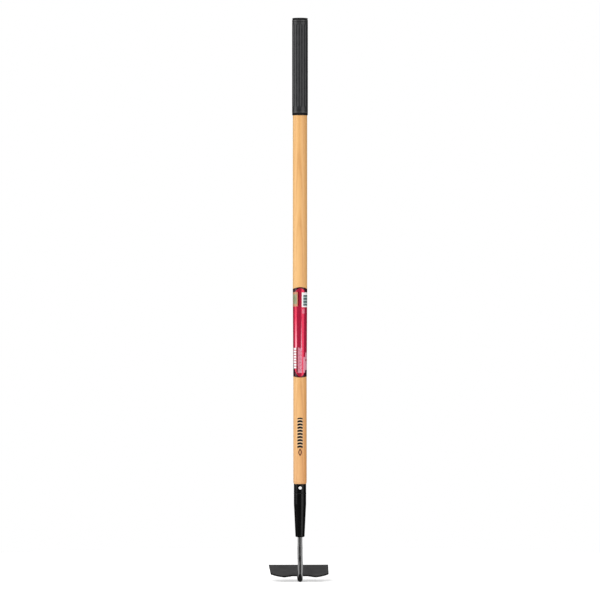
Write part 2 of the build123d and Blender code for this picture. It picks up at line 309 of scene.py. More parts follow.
class Shader:
    """One material's node tree, with short calls for the nodes that materials share."""

    def __init__(self, name):
        self.material = bpy.data.materials.new(name)
        self.material.use_nodes = True
        self.tree = self.material.node_tree
        self.bsdf = self.tree.nodes["Principled BSDF"]

    def node(self, kind, **settings):
        made = self.tree.nodes.new("ShaderNode" + kind)
        for key, value in settings.items():
            setattr(made, key, value)
        return made

    def join(self, source, target):
        self.tree.links.new(source, target)

    def feed(self, socket, value):
        """Sets a socket to a number or colour, or links another node's output to it."""
        if isinstance(value, bpy.types.NodeSocket):
            self.join(value, socket)
        else:
            socket.default_value = value

    def math(self, operation, a, b=0.0):
        made = self.node("Math", operation=operation)
        self.feed(made.inputs[0], a)
        self.feed(made.inputs[1], b)
        return made.outputs[0]

    def plus(self, a, b):
        return self.math("ADD", a, b)

    def minus(self, a, b):
        return self.math("SUBTRACT", a, b)

    def times(self, a, b):
        return self.math("MULTIPLY", a, b)

    def over(self, a, b):
        return self.math("DIVIDE", a, b)

    def object_point(self, scale=(1, 1, 1)):
        """The point in the object's own frame, in metres, scaled along each axis."""
        mapping = self.node("Mapping")
        mapping.inputs["Scale"].default_value = scale
        self.join(self.node("TexCoord").outputs["Object"], mapping.inputs["Vector"])
        return mapping.outputs["Vector"]

    def uv(self):
        """Millimetres over the surface: round from the front and up, or as the piece's builder says."""
        parts = self.node("SeparateXYZ")
        self.join(self.node("TexCoord").outputs["UV"], parts.inputs[0])
        return parts.outputs["X"], parts.outputs["Y"]

    def noise(self, scale, detail=3.0, roughness=0.5, stretch=(1, 1, 1), at=None):
        """Noise over the object's own points, scaled along each axis, or over the points given."""
        made = self.node("TexNoise")
        self.join(self.object_point(stretch) if at is None else at, made.inputs["Vector"])
        made.inputs["Scale"].default_value = scale
        made.inputs["Detail"].default_value = detail
        made.inputs["Roughness"].default_value = roughness
        return made.outputs["Fac"]

    def ramp(self, value, *stops):
        """A colour ramp from (place, colour) stops; a number stands for a grey."""
        made = self.node("ValToRGB")
        self.join(value, made.inputs["Fac"])
        elements = made.color_ramp.elements
        while len(elements) < len(stops):
            elements.new(0.5)
        for element, (place, colour) in zip(elements, stops):
            element.position = place
            element.color = (*colour, 1) if isinstance(colour, tuple) else (colour, colour, colour, 1)
        return made.outputs["Color"]

    def span(self, value, low, high, to_low=0.0, to_high=1.0):
        """Maps a value from one range to another, and clamps it there."""
        made = self.node("MapRange")
        self.join(value, made.inputs["Value"])
        for key, number in (("From Min", low), ("From Max", high), ("To Min", to_low), ("To Max", to_high)):
            made.inputs[key].default_value = number
        return made.outputs["Result"]

    def mix(self, factor, a, b, blend="MIX"):
        made = self.node("Mix", data_type="RGBA", blend_type=blend)
        self.feed(made.inputs["Factor"], factor)
        for socket, value in ((made.inputs[6], a), (made.inputs[7], b)):
            self.feed(socket, (*value, 1) if isinstance(value, tuple) else value)
        return made.outputs[2]

    def within(self, value, low, high, soft=0.05):
        """1 where a value lies between two limits, with a short soft edge."""
        rise = self.span(value, low - soft, low + soft)
        fall = self.span(value, high - soft, high + soft, 1.0, 0.0)
        return self.times(rise, fall)

    def worn_edges(self, sharpness=0.06):
        """1 on outward edges and 0 elsewhere."""
        pointiness = self.node("NewGeometry").outputs["Pointiness"]
        return self.span(pointiness, 0.5 + sharpness / 3, 0.5 + sharpness)

    def bump(self, height, distance, strength):
        made = self.node("Bump")
        made.inputs["Strength"].default_value = strength
        made.inputs["Distance"].default_value = distance
        self.join(height, made.inputs["Height"])
        return made.outputs["Normal"]

    def finish(self, **sockets):
        """Sets the shader's own sockets by name, with _ for a space."""
        for key, value in sockets.items():
            socket = self.bsdf.inputs[key.replace("_", " ")]
            if isinstance(value, tuple) and len(value) == 3:
                value = (*value, 1)
            self.feed(socket, value)
        return self.material

# -------- materials


def print_mark(s):
    """Where ink lies on the pole: a plain row of bars, each a shallow chevron, and a leaf under it."""
    across, up = s.uv()
    across = s.minus(across, MARK_CENTRE)
    side = s.math("ABSOLUTE", across)
    lean = s.plus(up, s.times(side, MARK_LEAN))
    turn = s.math("FRACT", s.over(s.minus(lean, MARK_LOW), MARK_PITCH))
    bars = s.within(turn, 0.02, 0.70, 0.02)
    narrow = s.span(side, MARK_HALF, MARK_HALF + 0.2, 1, 0)
    column = s.times(s.within(lean, MARK_LOW, MARK_HIGH), narrow)
    height = s.over(s.minus(up, MARK_LEAF_Z), MARK_LEAF_HALF_HEIGHT)
    bow = s.minus(1.0, s.math("POWER", s.math("ABSOLUTE", height), 1.6))
    inside = s.minus(s.times(bow, MARK_LEAF_HALF_WIDTH), side)
    leaf = s.within(inside, 0.0, 3.4, 0.15)
    return s.times(bars, column), column, leaf


def ash_wood():
    """Lacquered ash: growth rings about a far pith, fine pores, streaks, painted shade on its right side, and
    the printed mark.
    """
    s = Shader("ash_wood")
    wobble = s.noise(2.0, 2.0, stretch=(9, 9, 1.3))
    parts = s.node("SeparateXYZ")
    s.join(s.object_point(), parts.inputs[0])
    x, y, z = parts.outputs
    pith_x = s.plus(s.times(z, PITH_DRIFT_X), PITH_X)
    pith_y = s.plus(s.times(z, PITH_DRIFT_Y), PITH_Y)
    dx = s.minus(x, pith_x)
    dy = s.minus(y, pith_y)
    reach = s.math("SQRT", s.plus(s.times(dx, dx), s.times(dy, dy)))
    reach = s.plus(reach, s.times(wobble, RING_WOBBLE))
    rings = s.math("FRACT", s.over(reach, RING_PITCH))
    early = s.ramp(rings, (0.0, 0.85), (0.10, 1.0), (0.34, 0.25), (0.75, 0.0), (1.0, 0.85))
    fibre = s.noise(1.0, 4.0, 0.6, stretch=(900, 900, 14))
    pores = s.noise(1.0, 2.0, 0.5, stretch=(1500, 1500, 55))
    pores = s.times(s.span(pores, 0.56, 0.70), s.span(early, 0.1, 0.9, 0.25, 1.0))
    streak = s.noise(1.0, 3.0, 0.55, stretch=(70, 70, 1.6))
    tone = s.plus(s.times(early, 0.34), s.times(fibre, 0.30))
    tone = s.plus(tone, s.span(streak, 0.3, 0.7, -0.10, 0.30))
    colour = s.ramp(tone, (0.05, WOOD_PALE), (0.50, WOOD_MID), (0.95, WOOD_DARK))
    lower = s.span(z, *WOOD_WARM_SPAN)
    colour = s.mix(s.minus(1.0, lower), colour, WOOD_WARM, "MULTIPLY")
    # Painted shade, darker towards +X and most of all low down
    right_shade = s.times(s.span(x, *RIGHT_SHADE_SPAN), s.span(lower, 0.0, 1.0, 1.0, 0.55))
    colour = s.mix(right_shade, colour, WOOD_RIGHT_SHADE, "MULTIPLY")
    colour = s.mix(s.times(pores, 0.35), colour, WOOD_PORE)
    bars, column, leaf = print_mark(s)
    rubbed = s.span(s.noise(1.0, 2.0, stretch=(900, 900, 260)), 0.20, 0.28)
    colour = s.mix(s.times(column, 0.6), colour, MARK_GROUND)
    colour = s.mix(s.times(bars, rubbed), colour, INK_BLACK)
    colour = s.mix(s.times(leaf, rubbed), colour, INK_RED)
    scuffs = s.noise(1.0, 5.0, 0.7, stretch=(60, 60, 9))
    grain = s.bump(s.minus(s.times(fibre, 0.3), pores), 0.00010, 0.5)
    return s.finish(
        Base_Color=colour,
        Roughness=s.span(scuffs, 0.3, 0.7, 0.34, 0.50),
        Normal=grain,
        Coat_Weight=0.35,
        Coat_Roughness=0.38,
    )


def grip_rubber():
    """Moulded black rubber: a fine texture, worn ridges, painted shade in the lower line under the cap, and a
    painted highlight round the collar.
    """
    s = Shader("grip_rubber")
    fine = s.noise(2600, 2.0, 0.6)
    blotch = s.noise(60, 4.0, 0.6)
    colour = s.mix(s.span(blotch, 0.35, 0.70), RUBBER_DARK, RUBBER_PALE)
    colour = s.mix(s.times(s.worn_edges(0.04), 0.5), colour, RUBBER_WEAR_AND_HIGHLIGHT)
    _, up = s.uv()
    # Painted shade in the lower line under the cap
    line = s.times(s.within(up, *BAND_SHADE_SPAN, 0.3), 0.7)
    colour = s.mix(line, colour, RUBBER_SHADE_BLACK)
    # A painted highlight round the collar
    crest_highlight = s.times(s.within(up, *COLLAR_HIGHLIGHT_SPAN, 0.5), 0.6)
    colour = s.mix(crest_highlight, colour, RUBBER_WEAR_AND_HIGHLIGHT)
    return s.finish(
        Base_Color=colour,
        Roughness=s.span(blotch, 0.30, 0.75, 0.30, 0.42),
        Normal=s.bump(fine, 0.00005, 0.5),
        Specular_IOR_Level=0.75,
    )


def grip_groove_shade():
    """Painted shade: the same rubber made near-black, matt, never rubbed and low in gloss, in the deep line
    under the cap and under the lip.
    """
    s = Shader("grip_groove_shade")
    fine = s.noise(2600, 2.0, 0.6)
    return s.finish(
        Base_Color=s.mix(fine, RUBBER_SHADE_BLACK, RUBBER_DARK),
        Roughness=s.span(fine, 0.3, 0.7, 0.8, 0.95),
        Normal=s.bump(fine, 0.00005, 0.5),
        Specular_IOR_Level=0.1,
    )


def film_ripple(s):
    """The slight rippling of the film along the pole."""
    return s.noise(70, 2.0, 0.4, stretch=(1, 1, 0.25))


def film(name, ink, metal=0.0, border=None):
    """One printed ink under the sleeve's glossy film, which is slightly rippled.

    A border is a second ink, beyond a curve that sweeps down from the front of the upper edge.
    An ink with a border also has two painted highlights, pale streaks that fade out upwards, with painted
    shade above the left one.
    """
    s = Shader(name)
    ripple = film_ripple(s)
    speck = s.noise(900, 2.0, 0.5)
    colour = s.mix(s.span(speck, 0.40, 0.70), ink, tuple(0.82 * c + 0.006 for c in ink))
    if border:
        across, up = s.uv()
        angle = s.over(across, LABEL_HIGH.x / MM)
        sweep = s.minus(1.0, s.math("COSINE", angle))
        above = s.plus(up, s.times(sweep, BORDER_SWEEP))
        below = s.minus(up, s.times(sweep, BORDER_FOOT))
        top = s.span(above, BORDER_TOP, BORDER_TOP + 0.3)
        foot = s.span(below, BORDER_BOTTOM, BORDER_BOTTOM + 0.3, 1.0, 0.0)
        edge = s.math("MAXIMUM", top, foot)
        # Painted highlights as two pale streaks that fade out upwards, and painted shade above the left one
        fade = s.times(s.span(up, *HIGHLIGHT_FADE, 1.0, 0.0), s.span(up, *HIGHLIGHT_START))
        left = s.within(across, *HIGHLIGHT_LEFT, 1.5)
        painted_highlight = s.math("MAXIMUM", left, s.within(across, *HIGHLIGHT_RIGHT, 0.6))
        colour = s.mix(s.times(fade, painted_highlight), colour, FILM_HIGHLIGHT_PINK)
        shade = s.times(s.span(up, *SHADE_RISE, 0.0, 0.45), left)
        colour = s.mix(shade, colour, FILM_DEEP)
        colour = s.mix(edge, colour, border)
        metal = s.span(edge, 0.0, 1.0, metal, 0.15)
    return s.finish(
        Base_Color=colour,
        Metallic=metal,
        Roughness=s.span(ripple, 0.3, 0.7, 0.20, 0.30),
        Normal=s.bump(ripple, 0.0007, 0.3),
        Specular_IOR_Level=0.4,
        Coat_Weight=0.5,
        Coat_Roughness=0.10,
    )


def badge_film():
    """The sleeve's badge: a plain leaf on an olive field."""
    s = Shader("film_badge")
    across, up = s.uv()
    dx = s.minus(across, BADGE_CENTRE[0])
    dz = s.minus(up, BADGE_CENTRE[1])
    half = s.math("SQRT", s.minus(BADGE_LEAF_RADIUS**2, s.times(dz, dz)))
    width = s.minus(half, BADGE_LEAF_RADIUS - BADGE_LEAF_HALF_WIDTH)
    inside = s.minus(width, s.math("ABSOLUTE", dx))
    leaf = s.span(inside, -0.1, 0.1)
    rib = s.within(dx, -0.35, 0.35, 0.08)
    colour = s.mix(leaf, FILM_OLIVE, FILM_LEAF)
    colour = s.mix(s.times(rib, leaf), colour, FILM_OLIVE)
    ripple = film_ripple(s)
    return s.finish(
        Base_Color=colour,
        Roughness=s.span(ripple, 0.3, 0.7, 0.20, 0.30),
        Normal=s.bump(ripple, 0.0007, 0.3),
        Coat_Weight=0.25,
        Coat_Roughness=0.08,
    )


def ferrule_enamel():
    """Gloss black enamel on steel, with orange peel, faint rubs, a painted highlight along the bead, and a
    little bare metal on edges.
    """
    s = Shader("ferrule_enamel")
    peel = s.noise(420, 2.0, 0.5)
    rubs = s.noise(1.0, 5.0, 0.7, stretch=(180, 180, 22))
    wear = s.times(s.worn_edges(0.08), s.span(s.noise(700, 3.0), 0.54, 0.64))
    _, up = s.uv()
    # A painted highlight along the top of the bead
    crest_highlight = s.times(s.within(up, *BEAD_HIGHLIGHT_SPAN, 0.3), s.span(rubs, 0.3, 0.6, 0.4, 1.0))
    colour = s.mix(crest_highlight, ENAMEL_BLACK, ENAMEL_HIGHLIGHT)
    return s.finish(
        Base_Color=s.mix(wear, colour, STEEL_BARE),
        Metallic=wear,
        Roughness=s.span(rubs, 0.35, 0.75, 0.15, 0.27),
        Normal=s.bump(peel, 0.00004, 0.3),
        Specular_IOR_Level=0.35,
    )


def rivet_zinc():
    """Bright zinc on the rivet, satin, with fine tumbling marks."""
    s = Shader("rivet_zinc")
    marks = s.noise(1500, 4.0, 0.7)
    tone = s.ramp(marks, (0.3, ZINC_DARK), (0.6, ZINC_PALE))
    return s.finish(
        Base_Color=tone,
        Metallic=0.2,
        Roughness=s.span(marks, 0.3, 0.7, 0.42, 0.30),
        Normal=s.bump(marks, 0.00003, 0.4),
    )


def rod_steel():
    """Drawn steel rod: paler and rougher at its neck, bright below, with lengthwise lines, pits and weld
    tint.
    """
    s = Shader("rod_steel")
    around, along = s.uv()
    place = s.node("CombineXYZ")
    s.join(around, place.inputs["X"])
    s.join(s.times(along, 0.018), place.inputs["Y"])
    lines = s.noise(2.2, 4.0, 0.65, at=place.outputs[0])
    blotch = s.noise(120, 4.0, 0.6)
    pits = s.span(s.noise(2400, 2.0), 0.64, 0.72)
    tone = s.plus(s.times(lines, 0.45), s.times(blotch, 0.55))
    colour = s.ramp(tone, (0.30, ROD_DARK), (0.70, ROD_PALE))
    colour = s.mix(s.times(pits, 0.5), colour, STEEL_PIT)
    heat = s.times(s.span(along, *ROD_HEAT), s.span(blotch, 0.25, 0.65, 0.5, 1.0))
    colour = s.mix(s.times(heat, 0.7), colour, HEAT_BROWN)
    colour = s.mix(s.span(along, *NECK_PALE_ROUGH, 0.6, 0.0), colour, STEEL_BARE)
    polish = s.span(tone, 0.3, 0.8, 0.16, 0.08)
    dulled = s.plus(s.span(along, *NECK_PALE_ROUGH, 0.36, 0.0), s.times(heat, 0.12))
    return s.finish(
        Base_Color=colour,
        Metallic=1.0,
        Roughness=s.plus(polish, dulled),
        Normal=s.bump(lines, 0.00002, 0.4),
    )


def weld_steel():
    """Weld metal: dull, with a brown and blue tint that drifts from ripple to ripple."""
    s = Shader("weld_steel")
    drift = s.noise(160, 3.0, 0.6)
    fine = s.noise(1800, 3.0, 0.6)
    return s.finish(
        Base_Color=s.ramp(drift, (0.30, HEAT_BROWN), (0.50, HEAT_GREY), (0.70, HEAT_BLUE)),
        Metallic=0.85,
        Roughness=s.span(fine, 0.3, 0.7, 0.34, 0.52),
        Normal=s.bump(fine, 0.00004, 0.6),
    )


def blade_paint():
    """Dark satin finish over rolled plate, streaked across, rubbed, and blacker along its edges as painted
    shade.
    """
    s = Shader("blade_paint")
    rolled = s.noise(1.0, 4.0, 0.6, stretch=(14, 620, 620))
    cloud = s.noise(45, 4.0, 0.6)
    fine = s.noise(1900, 2.0, 0.5)
    tone = s.plus(s.times(rolled, 0.6), s.times(cloud, 0.4))
    paint = s.ramp(tone, (0.32, BLADE_DARK), (0.66, BLADE_PALE))
    from_side, from_heel = s.uv()
    drift = s.span(cloud, 0.3, 0.7, -0.5, 0.5)
    # Painted shade in bands inside the side edges and the near edge
    side_shade = s.span(s.plus(from_side, drift), *SHADE_BAND_SIDE, 1.0, 0.0)
    heel_shade = s.span(s.plus(from_heel, s.times(drift, 2.0)), *SHADE_BAND_HEEL, 1.0, 0.0)
    band = s.times(s.math("MAXIMUM", side_shade, heel_shade), SHADE_BAND_STRENGTH)
    paint = s.mix(band, paint, EDGE_SHADE_BLACK)
    rubs = s.span(s.noise(1.0, 4.0, 0.6, stretch=(90, 900, 900)), 0.66, 0.72)
    relief = s.plus(s.times(rolled, 0.6), s.times(fine, 0.4))
    return s.finish(
        Base_Color=s.mix(s.times(rubs, 0.4), paint, STEEL_BARE),
        Metallic=s.times(rubs, 0.4),
        Roughness=s.span(tone, 0.3, 0.7, 0.54, 0.42),
        Normal=s.bump(relief, 0.00005, 0.5),
        Specular_IOR_Level=0.35,
    )


def blade_rim():
    """The plate's rounded edges: near-black as painted shade, rubbed through to grey steel in places."""
    s = Shader("blade_rim")
    rub = s.span(s.noise(1.0, 4.0, 0.6, stretch=(90, 240, 240)), 0.60, 0.70)
    return s.finish(
        Base_Color=s.mix(rub, EDGE_SHADE_BLACK, RIM_STEEL),
        Metallic=s.times(rub, 0.8),
        Roughness=s.span(rub, 0.0, 1.0, 0.48, 0.34),
    )


def ground_steel():
    """The ground bevel under the cutting edge, with fine marks square to the edge."""
    s = Shader("ground_steel")
    marks = s.noise(1.0, 3.0, 0.6, stretch=(1100, 25, 25))
    stain = s.noise(70, 4.0, 0.6)
    tone = s.plus(s.times(marks, 0.6), s.times(stain, 0.4))
    return s.finish(
        Base_Color=s.ramp(tone, (0.3, STEEL_GROUND_DARK), (0.7, STEEL_GROUND_PALE)),
        Metallic=1.0,
        Roughness=s.span(marks, 0.3, 0.7, 0.26, 0.40),
        Normal=s.bump(marks, 0.00003, 0.5),
    )

# -------- mesh helpers


def new_object(bm, name, *materials):
    """An object in the scene from a bmesh, which is freed, with a material for each face index."""
    mesh = bpy.data.meshes.new(name)
    bm.to_mesh(mesh)
    bm.free()
    for material in materials:
        mesh.materials.append(material)
    piece = bpy.data.objects.new(name, mesh)
    bpy.context.scene.collection.objects.link(piece)
    return piece


def face_through(bm, uv, corners):
    """A smooth face through (vertex, UV) corners, with any vertex that comes again left out."""
    distinct = []
    for vert, place in corners:
        if vert not in [seen for seen, _ in distinct]:
            distinct.append((vert, place))
    face = bm.faces.new([vert for vert, _ in distinct])
    face.smooth = True
    for loop, (_, place) in zip(face.loops, distinct):
        loop[uv].uv = place
    return face


def turned(name, profile, columns, materials, closed=False, shape=None, paint=None):
    """A mesh turned about Z from (radius, height) points. An end at radius 0 closes to one point.

    shape(radius, height, angle) moves a point, where the angle is 0 at the front and positive
    towards +X. paint(angle, height) picks a face's material. The UVs are millimetres round and up.
    """
    bm = bmesh.new()
    uv = bm.loops.layers.uv.new("UVMap")
    unit = max(r for r, _ in profile) / MM
    angles = [2 * pi * j / columns - pi for j in range(columns + 1)]
    rows = []
    for r, z in profile:
        if r == 0:
            rows.append([bm.verts.new((0, 0, z))] * columns)
            continue
        row = []
        for angle in angles[:-1]:
            rr, zz = shape(r, z, angle) if shape else (r, z)
            row.append(bm.verts.new((rr * sin(angle), -rr * cos(angle), zz)))
        rows.append(row)
    above = rows[1:] + rows[:1] if closed else rows[1:]
    for lower, upper in zip(rows, above):
        for j in range(columns):
            k = (j + 1) % columns
            corners = ((lower[j], j), (lower[k], j + 1), (upper[k], j + 1), (upper[j], j))
            placed = [(vert, (angles[column] * unit, vert.co.z / MM)) for vert, column in corners]
            face = face_through(bm, uv, placed)
            if paint:
                height = sum(vert.co.z for vert in face.verts) / len(face.verts)
                face.material_index = paint((angles[j] + angles[j + 1]) / 2, height)
    bm.normal_update()
    return new_object(bm, name, *materials)


def join_into(piece, other):
    """Adds another object's mesh to a piece and welds where they meet."""
    bm = bmesh.new()
    bm.from_mesh(piece.data)
    bm.from_mesh(other.data)
    bmesh.ops.remove_doubles(bm, verts=bm.verts, dist=0.000001)
    bm.to_mesh(piece.data)
    bm.free()
    bpy.data.objects.remove(other)


def spread(low, high, count):
    """Evenly spaced numbers from low to high, both included."""
    return [low + (high - low) * i / count for i in range(count + 1)]


def stepped(start, *stops):
    """Heights from a start on through (height, steps) stops, evenly spaced up to each."""
    heights = [start]
    for stop, steps in stops:
        heights += spread(start, stop, steps)[1:]
        start = stop
    return heights


def foot_corner(radius, low, inset, rise, steps):
    """A rounded corner from a turned piece's underside out to its side, as (radius, height) points."""
    turns = [t * pi / 2 for t in spread(0, 1, steps)]
    return [(radius - inset * (1 - sin(turn)), low + rise * (1 - cos(turn))) for turn in turns]


def top_corner(radius, top, corner, steps):
    """A rounded corner from a turned piece's side in to its top, as (radius, height) points."""
    turns = [t * pi / 2 for t in spread(0, 1, steps)]
    return [(radius - corner * (1 - cos(turn)), top - corner * (1 - sin(turn))) for turn in turns]


def grid_faces(bm, rows, closed=False, material=0):
    """Quads between rows of vertices; closed joins each row's end to its start."""
    faces = []
    for lower, upper in zip(rows, rows[1:]):
        count = len(lower) if closed else len(lower) - 1
        for j in range(count):
            k = (j + 1) % len(lower)
            face = bm.faces.new((lower[j], lower[k], upper[k], upper[j]))
            face.smooth = True
            face.material_index = material
            faces.append(face)
    return faces


def outline(rows):
    """The vertices round the edge of a grid, in order."""
    right = [row[-1] for row in rows[1:]]
    far = list(reversed(rows[-1]))[1:]
    left = [row[0] for row in reversed(rows[1:-1])]
    return rows[0] + right + far + left


def settle(piece, node, sharp_from=35):
    """Puts a piece on the hoe's one body, in place of its CAD node.

    Its edges that turn more than sharp_from degrees are shaded sharp.
    """
    piece.data.set_sharp_from_angle(angle=radians(sharp_from))
    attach(piece, "root")
    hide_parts(node)

# -------- pieces


def pole_radius(z):
    """The pole's radius at a height: straight, then a taper under the film, then straight."""
    share = (LABEL_HIGH.z - z) / (LABEL_HIGH.z - LABEL_LOW.z)
    return POLE_RADIUS + min(max(share, 0), 1) * (POLE_LOWER_RADIUS - POLE_RADIUS)


def make_pole():
    """The turned pole, from its end in the ferrule, over its shoulder, to its end in the grip."""
    seat = FERRULE_HIGH.z
    inner = FERRULE_RADIUS - FERRULE_WALL
    tip = FERRULE_TIP_RADIUS - FERRULE_WALL
    profile = [(0, POLE_LOW.z), (tip, POLE_LOW.z), (tip, FERRULE_TAPER_END)]
    profile += [(inner, FERRULE_TAPER_TOP), (inner, seat)]
    lip = FERRULE_RADIUS + 0.1 * MM
    for t in spread(0, 1, 8):
        bulge = sin(t * pi / 2)
        profile.append((lip + (POLE_LOWER_RADIUS - lip) * bulge, seat + POLE_SHOULDER * t))
    chamfer = POLE_HIGH.z - POLE_CHAMFER
    heights = stepped(seat + POLE_SHOULDER, (LABEL_LOW.z, 40), (LABEL_HIGH.z, 20), (chamfer, 60))
    profile += [(pole_radius(z), z) for z in heights[1:]]
    profile += [(POLE_RADIUS - POLE_CHAMFER, POLE_HIGH.z), (0, POLE_HIGH.z)]
    piece = turned("pole", profile, 96, [ash_wood()])
    settle(piece, "handle")


def line_groove(centre, half=LINE_HALF, depth=LINE_DEPTH):
    """A round line cut into the grip, as (radius, height) points."""
    steps = (-1, -0.6, 0, 0.6, 1)
    return [(GRIP_RADIUS - depth * cos(t * pi / 2), centre + half * t) for t in steps]


def fluted(r, z, angle):
    """A point of the grip's outside, sunk where a flute passes."""
    if r < GRIP_RADIUS - 0.01 * MM or not FLUTE_LOW < z < FLUTE_HIGH:
        return r, z
    place = ((degrees(angle) - FLUTE_PHASE) / FLUTE_STEP + 0.5) % 1
    off_centre = abs(place - 0.5) * 2
    hollow = cos(min(off_centre / FLUTE_SHARE, 1) * pi / 2) ** FLUTE_CURVE
    end = min(z - FLUTE_LOW, FLUTE_HIGH - z) / FLUTE_RUN_OUT
    ease = sin(min(end, 1) * pi / 2)
    return r - FLUTE_DEPTH * hollow * ease, z


def make_grip():
    """The rubber grip: a domed cap, two lines under it, twelve soft flutes, a collar and a lip."""
    inner = POLE_RADIUS + FIT_GAP
    low_end, high_end = FLUTE_LOW + FLUTE_FINE_ROWS, FLUTE_HIGH - FLUTE_FINE_ROWS
    sides = stepped(COLLAR_LOW, (FLUTE_LOW, 8), (low_end, 12), (high_end, 50), (FLUTE_HIGH, 12))
    outer = [(inner, GRIP_LOW.z)] + foot_corner(GRIP_RADIUS, GRIP_LOW.z, LIP_INSET, LIP_RISE, 6)
    outer += line_groove(LIP_LINE)
    outer += [(GRIP_RADIUS, z) for z in sides]
    outer += [(GRIP_RADIUS, BAND_LOW)] + line_groove(BAND_LINE)
    outer += [(GRIP_RADIUS, CAP_LOW)] + line_groove(CAP_LINE, CAP_LINE_HALF, CAP_LINE_DEPTH)
    outer += top_corner(GRIP_RADIUS, GRIP_HIGH.z, GRIP_CORNER, 8)
    outer += [(GRIP_FLAT, GRIP_HIGH.z), (0, GRIP_HIGH.z)]
    roof = POLE_HIGH.z + FIT_GAP
    inside = [(0, roof), (POLE_RADIUS - POLE_CHAMFER, roof)]
    inside += [(inner, POLE_HIGH.z - POLE_CHAMFER), (inner, GRIP_LOW.z)]

    # Painted shade on the deep line under the cap and under the lip
    def shaded_or_plain(_, z):
        return int(CAP_SHADE_SPAN[0] < z < CAP_SHADE_SPAN[1] or z < LIP_TOP)

    rubber = [grip_rubber(), grip_groove_shade()]
    piece = turned("grip_sleeve", outer, 240, rubber, shape=fluted, paint=shaded_or_plain)
    join_into(piece, turned("lining", inside, 240, rubber))
    settle(piece, "grip", 40)


def label_prints():
    """The sleeve's plain printed shapes, and a dark stripe beside the badge: (ink, [(from degrees, to
    degrees, from mm, to mm), ...]).
    """
    ladder = [(-70, -37, z, z + 4.9) for z in spread(566, 615, 7)]
    lines = []
    for i, angle in enumerate(range(-21, 15, 6)):
        z = 554
        while z < 619:
            length = 6 + (i * 5 + z) % 7
            lines.append((angle, angle + (6 if i % 2 else 3), z, min(z + length, 621)))
            z += length + 1
    side = [(a, a + 5, 555 + a % 3, 596) for a in range(27, 45, 6)]
    flank = [(48, 72, 562, 586), (48, 72, 590, 608)]
    small = [(a, a + 3, 711, 725 - a % 4) for a in range(15, 39, 6)]
    bars = [(24, 84, z, z + 4) for z in (732, 740, 748, 756)]
    return [
        # The first deep box is a dark stripe just right of the badge
        ("deep", [(-19, -10, 732, 768), (-36, -22, 556, 621)]),
        ("tan", [(-75, -20, 730, 768)]),
        ("badge", [(-75, -27, 736, 762)]),
        ("white", [(12, 100, 728, 767)] + ladder),
        ("teal", [(24, 84, 732, 760)]),
        ("slate", bars),
        ("pink", lines + side + flank + small),
    ]


def make_label():
    """The printed film sleeve, arched along its upper edge, with its prints as faces of their own."""
    prints = label_prints()
    inks = [film("film_" + name, *settings) for name, settings in INKS.items()] + [badge_film()]
    order = [*INKS, "badge"]
    ease_top = LABEL_HIGH.z - LABEL_EASE_TOP
    ease_foot = LABEL_LOW.z + LABEL_EASE_FOOT

    def arched(r, z, angle):
        if angle > SEAM_FROM and r > pole_radius(z) + FILM_THICKNESS / 2:
            r += SEAM_STEP
        across = r * sin(angle)
        dip = LABEL_ARCH - sqrt(LABEL_ARCH**2 - across**2)
        if z > ease_top:
            z -= dip * (z - ease_top) / LABEL_EASE_TOP
        elif z < ease_foot:
            z += LABEL_FOOT_SHARE * dip * (ease_foot - z) / LABEL_EASE_FOOT
        return r, z

    def paint(angle, z):
        up, turn = z / MM, degrees(angle)
        found = "crimson"
        for ink, boxes in prints:
            for a0, a1, z0, z1 in boxes:
                if a0 <= turn <= a1 and z0 <= up <= z1:
                    found = ink
        return order.index(found)

    heights = spread(LABEL_LOW.z, LABEL_HIGH.z, round((LABEL_HIGH.z - LABEL_LOW.z) / MM))
    outer = [(pole_radius(z) + FILM_THICKNESS, z) for z in heights]
    inner = [(pole_radius(z) + FIT_GAP, z) for z in reversed(heights[::10] + [heights[-1]])]
    piece = turned("film_sleeve", outer + inner, 120, inks, True, arched, paint)
    settle(piece, "label_wrap")


def dimpled(r, z, angle):
    """A point of the ferrule's outside, sunk round the edge of each rivet head."""
    if r < FERRULE_RADIUS - 0.3 * MM:
        return r, z
    around = min(abs(angle), pi - abs(angle)) * FERRULE_RADIUS
    from_head = sqrt(around**2 + (z - RIVET_Z) ** 2) - RIVET_HEAD
    return r - DIMPLE_DEPTH * exp(-((from_head / DIMPLE_WIDTH) ** 2)), z


